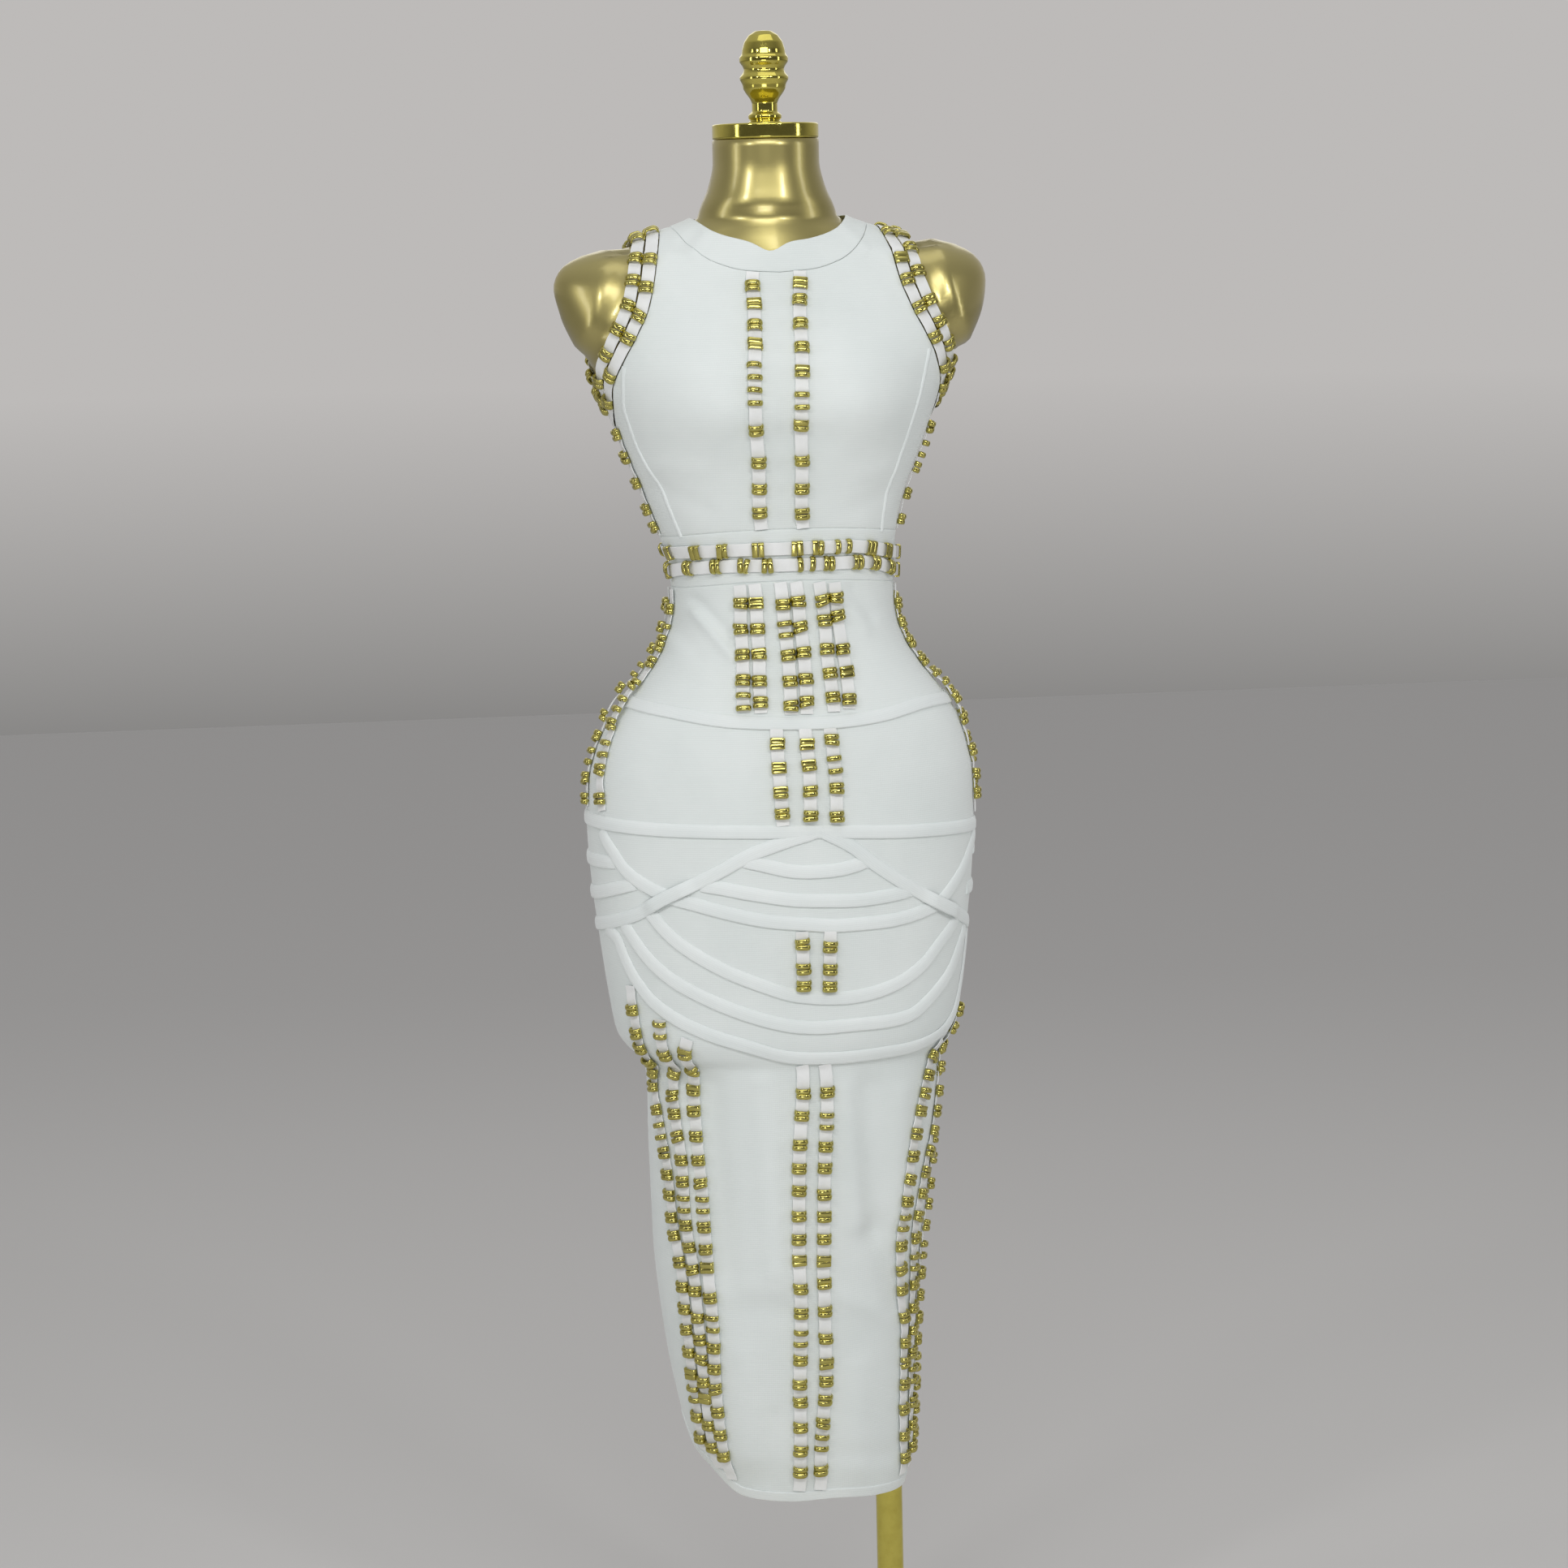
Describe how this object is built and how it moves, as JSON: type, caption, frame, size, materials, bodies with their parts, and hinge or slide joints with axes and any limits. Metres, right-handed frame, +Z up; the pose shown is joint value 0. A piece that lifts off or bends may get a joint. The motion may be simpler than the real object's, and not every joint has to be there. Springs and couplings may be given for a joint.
{
  "type": "bodycon dress",
  "caption": "Sleeveless fitted midi dress in white bandage knit, trimmed with curved raised bands and straps of gold sliders, worn on a limbless gold dress form with pole and round base.",
  "frame": {"origin": "centre of the underside of the base plate", "axes": "+Z up along the form, -Y out of the dress's front, +X toward the right of someone facing the front"},
  "size_m": [0.3838, 0.34, 1.568],
  "materials": {
    "knit": "fine horizontal rib, matte",
    "elastic": "flat woven elastic with a soft sheen; its strap nodes also carry the polished gold sliders",
    "satin_gold": "satin gold paint",
    "polished_gold": "polished"
  },
  "bodies": {
    "root": {"bodice_front": "knit", "bodice_side_left": "knit", "bodice_side_right": "knit", "bodice_back_left": "knit", "bodice_back_right": "knit", "neckband": "knit", "waistband": "knit", "hip_front": "knit", "hip_back_left": "knit", "hip_back_right": "knit", "skirt_front": "knit", "skirt_back": "knit", "hip_band_1": "knit", "hip_band_2": "knit", "cross_band": "knit", "arc_1": "knit", "arc_2": "knit", "arc_3": "knit", "arc_4": "knit", "arc_5": "knit", "arc_6": "knit", "side_band_1": "knit", "side_band_2": "knit", "bust_left": "elastic", "bust_right": "elastic", "waist_1_left": "elastic", "waist_1_right": "elastic", "waist_2_left": "elastic", "waist_2_right": "elastic", "waist_3_left": "elastic", "waist_3_right": "elastic", "hip_column_1": "elastic", "hip_column_2": "elastic", "hip_column_3": "elastic", "low_hip_left": "elastic", "low_hip_right": "elastic", "skirt_centre_left": "elastic", "skirt_centre_right": "elastic", "side_seam_left": "elastic", "side_seam_right": "elastic", "hip_side_left_front": "elastic", "hip_side_left_rear": "elastic", "hip_side_right_front": "elastic", "hip_side_right_rear": "elastic", "skirt_left_1": "elastic", "skirt_left_2": "elastic", "skirt_left_3": "elastic", "skirt_right_1": "elastic", "skirt_right_2": "elastic", "skirt_right_3": "elastic", "waist_ring_upper": "elastic", "waist_ring_lower": "elastic", "armhole_left_inner": "elastic", "armhole_left_outer": "elastic", "armhole_right_inner": "elastic", "armhole_right_outer": "elastic", "form_torso": "satin_gold", "neck_cap": "polished_gold", "pole": "polished_gold", "base_plate": "polished_gold"}
  },
  "joints": []
}
